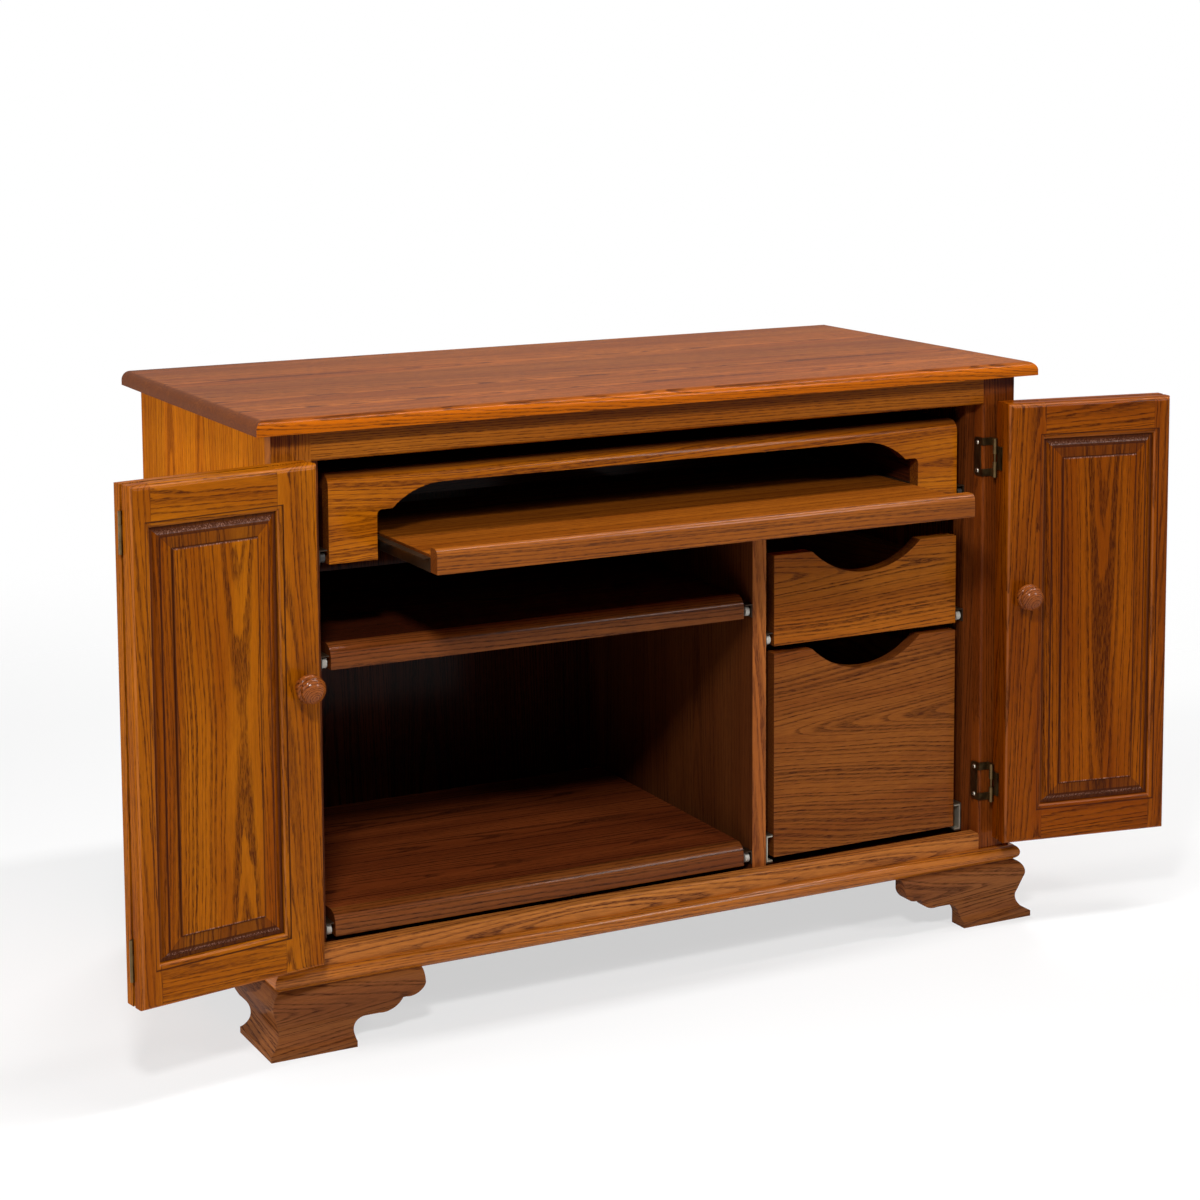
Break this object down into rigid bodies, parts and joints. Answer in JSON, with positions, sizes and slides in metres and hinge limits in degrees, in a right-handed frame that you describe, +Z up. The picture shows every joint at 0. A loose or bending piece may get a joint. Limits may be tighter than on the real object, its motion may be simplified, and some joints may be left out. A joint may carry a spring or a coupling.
{
  "type": "computer desk",
  "caption": "Oak computer desk cabinet with folding raised-panel doors, pull-out work surface and keyboard tray, sliding shelves, scooped drawers and ogee bracket feet.",
  "frame": {"origin": "middle of the desk's footprint as stored, on the floor", "axes": "+X to the right of someone facing the doors, -Y out of the front, +Z up"},
  "size_m": [1.458, 0.6244, 0.762],
  "materials": {
    "oak_top": "satin lacquer over stain",
    "oak_side": "satin lacquer over stain",
    "oak_back": "satin lacquer over stain",
    "oak_inner": "satin lacquer over stain",
    "oak_partition": "satin lacquer over stain",
    "oak_stile": "satin lacquer over stain",
    "oak_rail": "satin lacquer over stain",
    "oak_moulding": "satin lacquer over stain",
    "oak_feet": "satin lacquer over stain",
    "oak_work_top": "satin lacquer over stain",
    "oak_apron": "satin lacquer over stain",
    "oak_tray": "satin lacquer over stain",
    "oak_tray_lip": "satin lacquer over stain",
    "oak_shelf": "satin lacquer over stain",
    "oak_nosing": "satin lacquer over stain",
    "oak_drawer_front": "satin lacquer over stain",
    "oak_drawer_box": "satin lacquer over stain",
    "oak_door_frame": "satin lacquer over stain",
    "oak_door_panel": "satin lacquer over stain",
    "oak_knob": "satin lacquer over stain",
    "slide_steel": "epoxy coated",
    "nylon": "moulded",
    "hinge_brass": "antique brass",
    "screw_steel": "plated"
  },
  "bodies": {
    "cabinet": {"top_panel": "oak_top", "left_side": "oak_side", "right_side": "oak_side", "back_panel": "oak_back", "bottom_panel": "oak_inner", "partition": "oak_partition", "left_stile": "oak_stile", "right_stile": "oak_stile", "top_rail": "oak_rail", "bottom_rail": "oak_rail", "base_moulding": "oak_moulding", "front_left_foot": "oak_feet", "front_right_foot": "oak_feet", "rear_left_foot": "oak_feet", "rear_right_foot": "oak_feet", "slide_posts": "oak_inner", "rear_stretcher": "oak_inner", "top_cleats": "oak_inner", "roller_tracks": "slide_steel", "file_tracks": "slide_steel", "cabinet_rollers": "nylon", "frame_hinge_wings": "hinge_brass", "hinge_screws": "screw_steel"},
    "left_hinge_leaf": {"left_hinge_leaf_frame": "oak_door_frame", "left_hinge_leaf_panel": "oak_door_panel", "left_hinge_leaf_wings": "hinge_brass"},
    "left_knob_leaf": {"left_knob_leaf_frame": "oak_door_frame", "left_knob_leaf_panel": "oak_door_panel", "left_knob_leaf_wings": "hinge_brass", "left_knob": "oak_knob"},
    "right_hinge_leaf": {"right_hinge_leaf_frame": "oak_door_frame", "right_hinge_leaf_panel": "oak_door_panel", "right_hinge_leaf_wings": "hinge_brass"},
    "right_knob_leaf": {"right_knob_leaf_frame": "oak_door_frame", "right_knob_leaf_panel": "oak_door_panel", "right_knob_leaf_wings": "hinge_brass", "right_knob": "oak_knob"},
    "work_surface": {"unit_top": "oak_work_top", "unit_apron": "oak_apron", "unit_sides": "oak_inner", "unit_back": "oak_inner", "unit_slides": "slide_steel", "unit_rollers": "nylon"},
    "keyboard_tray": {"tray_board": "oak_tray", "tray_lip_rail": "oak_tray_lip", "tray_runners": "slide_steel"},
    "printer_shelf": {"printer_shelf_board": "oak_shelf", "printer_shelf_nosing": "oak_nosing", "printer_shelf_runners": "slide_steel"},
    "bottom_shelf": {"bottom_shelf_board": "oak_shelf", "bottom_shelf_nosing": "oak_nosing", "bottom_shelf_runners": "slide_steel"},
    "upper_drawer": {"upper_drawer_front": "oak_drawer_front", "upper_drawer_box": "oak_drawer_box", "upper_drawer_runners": "slide_steel"},
    "file_drawer": {"file_drawer_front": "oak_drawer_front", "file_drawer_box": "oak_drawer_box", "file_drawer_members": "slide_steel"},
    "file_slide_middle": {"file_slide_middles": "slide_steel"}
  },
  "joints": [
    {"name": "left_door_swing", "type": "hinge", "parent": "cabinet", "child": "left_hinge_leaf", "pos_m": [-0.4875, -0.19675, 0.414], "axis": [0, 0, -1], "range_deg": [-170, 0]},
    {"name": "left_door_fold", "type": "hinge", "parent": "left_hinge_leaf", "child": "left_knob_leaf", "pos_m": [-0.72661, -0.2516, 0.414], "axis": [0, 0, 1], "range_deg": [-180, 0]},
    {"name": "right_door_swing", "type": "hinge", "parent": "cabinet", "child": "right_hinge_leaf", "pos_m": [0.4875, -0.19675, 0.414], "axis": [0, 0, 1], "range_deg": [-170, 0]},
    {"name": "right_door_fold", "type": "hinge", "parent": "right_hinge_leaf", "child": "right_knob_leaf", "pos_m": [0.72661, -0.2516, 0.414], "axis": [0, 0, -1], "range_deg": [-180, 0]},
    {"name": "keyboard_tray_slide", "type": "slide", "parent": "work_surface", "child": "keyboard_tray", "axis": [0, -1, 0], "range_m": [-0.147, 0]},
    {"name": "work_surface_slide", "type": "slide", "parent": "cabinet", "child": "work_surface", "axis": [0, -1, 0], "range_m": [0, 0.28]},
    {"name": "printer_shelf_slide", "type": "slide", "parent": "cabinet", "child": "printer_shelf", "axis": [0, -1, 0], "range_m": [0, 0.3]},
    {"name": "bottom_shelf_slide", "type": "slide", "parent": "cabinet", "child": "bottom_shelf", "axis": [0, -1, 0], "range_m": [0, 0.3]},
    {"name": "upper_drawer_slide", "type": "slide", "parent": "cabinet", "child": "upper_drawer", "axis": [0, -1, 0], "range_m": [0, 0.3]},
    {"name": "file_drawer_slide", "type": "slide", "parent": "cabinet", "child": "file_drawer", "axis": [0, -1, 0], "range_m": [0, 0.4]},
    {"name": "file_slide_middle_slide", "type": "slide", "parent": "cabinet", "child": "file_slide_middle", "axis": [0, -1, 0], "range_m": [0, 0.2]}
  ],
  "couplings": [
    {"joint": "left_door_fold", "follows": "left_door_swing", "ratio": 1.0588},
    {"joint": "right_door_swing", "follows": "left_door_swing", "ratio": 1},
    {"joint": "right_door_fold", "follows": "left_door_swing", "ratio": 1.0588},
    {"joint": "keyboard_tray_slide", "follows": "left_door_swing", "m_per_rad": 0.0495},
    {"joint": "file_slide_middle_slide", "follows": "file_drawer_slide", "ratio": 0.5}
  ]
}
